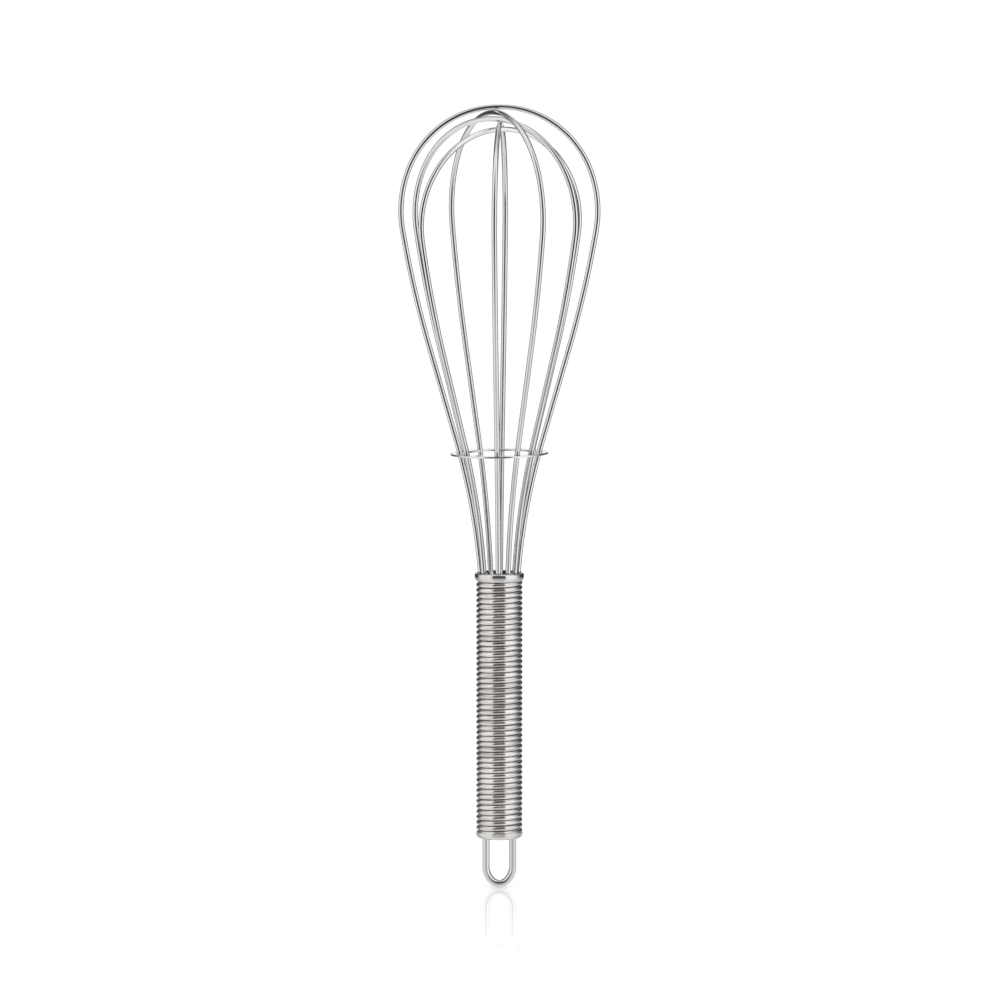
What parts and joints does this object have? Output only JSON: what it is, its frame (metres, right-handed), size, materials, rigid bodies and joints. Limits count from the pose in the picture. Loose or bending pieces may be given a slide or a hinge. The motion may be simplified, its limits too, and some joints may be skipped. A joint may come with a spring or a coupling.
{
  "type": "balloon whisk",
  "caption": "Balloon whisk: round wire loops crossing at a bulbous crown, a flat spacer ring, a slim coil-wound grip with collar and end cap, and a wire hanging loop.",
  "frame": {"origin": "middle of the coil-wound grip, on the whisk's long axis", "axes": "+Z along the whisk from the hanging loop towards the balloon's crown; +X in the plane of the first wire loop and of the hanging loop; -Y towards the front"},
  "size_m": [0.065, 0.0637, 0.254],
  "materials": {
    "whisk_wire": "mirror-polished stainless spring wire",
    "ring_plate": "bright pressed stainless sheet",
    "ferrule": "polished stainless, turned",
    "grip_wire": "polished stainless wire, close wound",
    "core_steel": "plain stainless, machined",
    "eye_wire": "polished stainless wire"
  },
  "bodies": {
    "root": {"wire_loop_1": "whisk_wire", "wire_loop_2": "whisk_wire", "wire_loop_3": "whisk_wire", "wire_loop_4": "whisk_wire", "wire_loop_5": "whisk_wire", "spacer_ring": "ring_plate", "collar": "ferrule", "grip_coil": "grip_wire", "core_tube": "core_steel", "core_plug": "core_steel", "eye_retainer": "core_steel", "end_cap": "ferrule", "hanging_loop": "eye_wire"}
  },
  "joints": []
}
